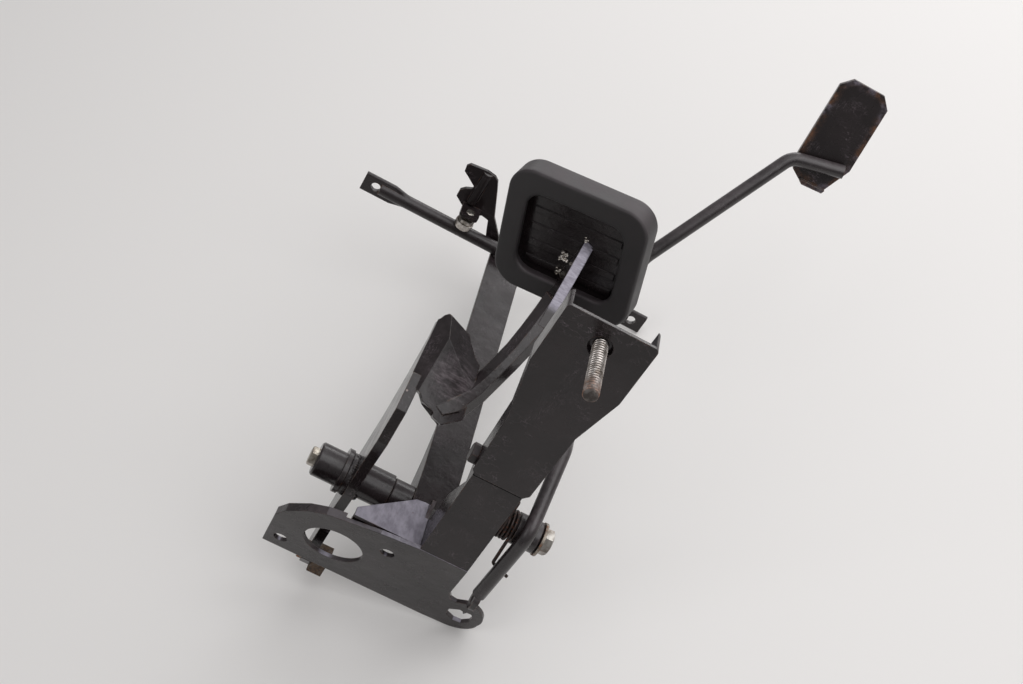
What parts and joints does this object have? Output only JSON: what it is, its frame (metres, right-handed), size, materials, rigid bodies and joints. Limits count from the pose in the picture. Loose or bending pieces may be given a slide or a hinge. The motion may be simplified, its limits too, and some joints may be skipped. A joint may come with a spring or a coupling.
{
  "type": "car pedal assembly",
  "caption": "Floor bracket with a hinged brake pedal and a sprung rod accelerator pedal, bolted to a firewall and tied back by a cross tube.",
  "frame": {"origin": "centre of the large firewall hole, on the front face of the tilted firewall plate", "axes": "+X to the right of the bracket, +Y towards the driver, +Z along the bracket column from the firewall plate up to the pads"},
  "size_m": [0.2414, 0.3097, 0.3535],
  "materials": {
    "black_paint_plate": "satin",
    "black_paint_stay": "satin",
    "black_paint_tube": "satin",
    "black_paint_pivot": "gloss",
    "black_paint_arm": "gloss",
    "black_paint_rod": "satin",
    "black_paint_tread": "worn satin",
    "black_fastener": "satin",
    "rusty_zinc": "dull, rusted",
    "dull_zinc": "dull",
    "plain_steel": "turned",
    "rusted_steel": "rusted",
    "spring_steel": "drawn wire",
    "nylon_bush": "matt",
    "pad_rubber": "matt"
  },
  "bodies": {
    "bracket": {"firewall_bracket": "black_paint_plate", "shelf_gusset": "black_paint_plate", "upper_channel": "black_paint_plate", "dash_stud": "rusty_zinc", "joint_bolt": "black_fastener", "joint_nut": "black_fastener", "rear_stay": "black_paint_stay", "cross_tube": "black_paint_tube", "rear_bracket": "black_paint_stay", "stop_screw": "dull_zinc", "stop_nut": "dull_zinc", "pivot_shaft": "plain_steel", "shaft_nut": "dull_zinc", "pivot_spacer": "black_paint_pivot", "end_collar": "black_paint_pivot", "collar_bolt": "rusty_zinc", "throttle_bolt": "dull_zinc", "throttle_washer": "dull_zinc", "throttle_nut": "dull_zinc"},
    "brake_pedal": {"brake_arm": "black_paint_arm", "brake_hub": "black_paint_pivot", "hub_bushes": "nylon_bush", "pad_plate": "black_paint_arm", "brake_pad": "pad_rubber", "lever_pin": "rusted_steel"},
    "push_block": {"push_block": "rusted_steel"},
    "accelerator": {"throttle_rod": "black_paint_rod", "throttle_plate": "black_paint_tread", "throttle_sleeve": "black_paint_rod", "throttle_bush": "nylon_bush", "return_spring": "spring_steel"}
  },
  "joints": [
    {"name": "brake_hinge", "type": "hinge", "parent": "bracket", "child": "brake_pedal", "pos_m": [0.0015, 0.02802, 0.02794], "axis": [1, 0, 0], "range_deg": [0, 16]},
    {"name": "push_block_pivot", "type": "hinge", "parent": "brake_pedal", "child": "push_block", "pos_m": [0.0023, 0.02552, -0.04106], "axis": [1, 0, 0], "range_deg": [-20, 20]},
    {"name": "accelerator_hinge", "type": "hinge", "parent": "bracket", "child": "accelerator", "pos_m": [0.0805, 0.00002, 0.07394], "axis": [1, 0, 0], "range_deg": [0, 12], "stiffness_Nm_per_rad": 2.3, "springref_deg": -51.57, "deforming": ["return_spring"]}
  ]
}
